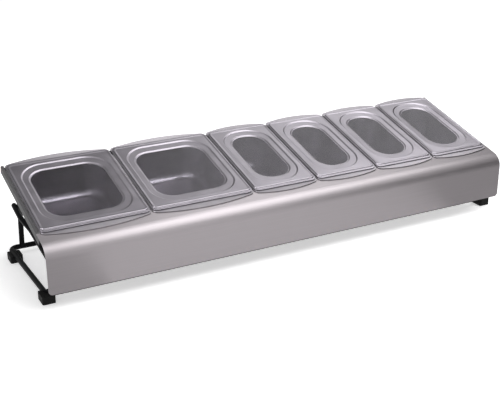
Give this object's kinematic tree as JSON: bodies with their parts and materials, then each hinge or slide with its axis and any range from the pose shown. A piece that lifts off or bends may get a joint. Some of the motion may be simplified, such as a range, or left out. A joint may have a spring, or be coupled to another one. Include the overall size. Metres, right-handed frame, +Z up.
{
  "type": "pizza topping station",
  "caption": "Tilted counter-top rack with a row of lidded steel food pans, a bent stainless front cover and a black wire stand on rubber feet.",
  "frame": {"origin": "middle of the part's box, on the surface that the feet stand on", "axes": "+X along the row of pans, to the right of the person working at it; +Y away from that person; +Z up"},
  "size_m": [0.79, 0.2192, 0.1464],
  "materials": {
    "stand_black": "satin black powder coat",
    "cover_steel": "brushed along the row",
    "pan_steel": "satin, pressed",
    "fixing_steel": "plain",
    "lid_plastic": "clear smoke grey, satin",
    "foot_rubber": "matt black"
  },
  "bodies": {
    "stand": {"base_loop": "stand_black", "front_rail": "stand_black", "rear_rail": "stand_black", "cover_panel": "cover_steel", "cover_tabs": "stand_black", "cover_studs": "fixing_steel", "cover_nuts": "fixing_steel", "side_angle_left": "cover_steel", "front_post_left": "stand_black", "rear_leg_left": "stand_black", "side_arm_left": "stand_black", "foot_front_left": "foot_rubber", "foot_rear_left": "foot_rubber", "side_angle_right": "cover_steel", "front_post_right": "stand_black", "rear_leg_right": "stand_black", "side_arm_right": "stand_black", "foot_front_right": "foot_rubber", "foot_rear_right": "foot_rubber"},
    "wide_pan_1": {"wide_pan_1": "pan_steel"},
    "wide_lid_1": {"wide_lid_1": "lid_plastic"},
    "wide_pan_2": {"wide_pan_2": "pan_steel"},
    "wide_lid_2": {"wide_lid_2": "lid_plastic"},
    "narrow_pan_1": {"narrow_pan_1": "pan_steel"},
    "narrow_lid_1": {"narrow_lid_1": "lid_plastic"},
    "narrow_pan_2": {"narrow_pan_2": "pan_steel"},
    "narrow_lid_2": {"narrow_lid_2": "lid_plastic"},
    "narrow_pan_3": {"narrow_pan_3": "pan_steel"},
    "narrow_lid_3": {"narrow_lid_3": "lid_plastic"},
    "narrow_pan_4": {"narrow_pan_4": "pan_steel"},
    "narrow_lid_4": {"narrow_lid_4": "lid_plastic"}
  },
  "joints": [
    {"name": "wide_pan_1_lift", "type": "slide", "parent": "stand", "child": "wide_pan_1", "axis": [0, -0.2343, 0.9722], "range_m": [0, 0.1]},
    {"name": "wide_lid_1_lift", "type": "slide", "parent": "wide_pan_1", "child": "wide_lid_1", "axis": [0, -0.2343, 0.9722], "range_m": [0, 0.06]},
    {"name": "wide_pan_2_lift", "type": "slide", "parent": "stand", "child": "wide_pan_2", "axis": [0, -0.2343, 0.9722], "range_m": [0, 0.1]},
    {"name": "wide_lid_2_lift", "type": "slide", "parent": "wide_pan_2", "child": "wide_lid_2", "axis": [0, -0.2343, 0.9722], "range_m": [0, 0.06]},
    {"name": "narrow_pan_1_lift", "type": "slide", "parent": "stand", "child": "narrow_pan_1", "axis": [0, -0.2343, 0.9722], "range_m": [0, 0.1]},
    {"name": "narrow_lid_1_lift", "type": "slide", "parent": "narrow_pan_1", "child": "narrow_lid_1", "axis": [0, -0.2343, 0.9722], "range_m": [0, 0.06]},
    {"name": "narrow_pan_2_lift", "type": "slide", "parent": "stand", "child": "narrow_pan_2", "axis": [0, -0.2343, 0.9722], "range_m": [0, 0.1]},
    {"name": "narrow_lid_2_lift", "type": "slide", "parent": "narrow_pan_2", "child": "narrow_lid_2", "axis": [0, -0.2343, 0.9722], "range_m": [0, 0.06]},
    {"name": "narrow_pan_3_lift", "type": "slide", "parent": "stand", "child": "narrow_pan_3", "axis": [0, -0.2343, 0.9722], "range_m": [0, 0.1]},
    {"name": "narrow_lid_3_lift", "type": "slide", "parent": "narrow_pan_3", "child": "narrow_lid_3", "axis": [0, -0.2343, 0.9722], "range_m": [0, 0.06]},
    {"name": "narrow_pan_4_lift", "type": "slide", "parent": "stand", "child": "narrow_pan_4", "axis": [0, -0.2343, 0.9722], "range_m": [0, 0.1]},
    {"name": "narrow_lid_4_lift", "type": "slide", "parent": "narrow_pan_4", "child": "narrow_lid_4", "axis": [0, -0.2343, 0.9722], "range_m": [0, 0.06]}
  ]
}
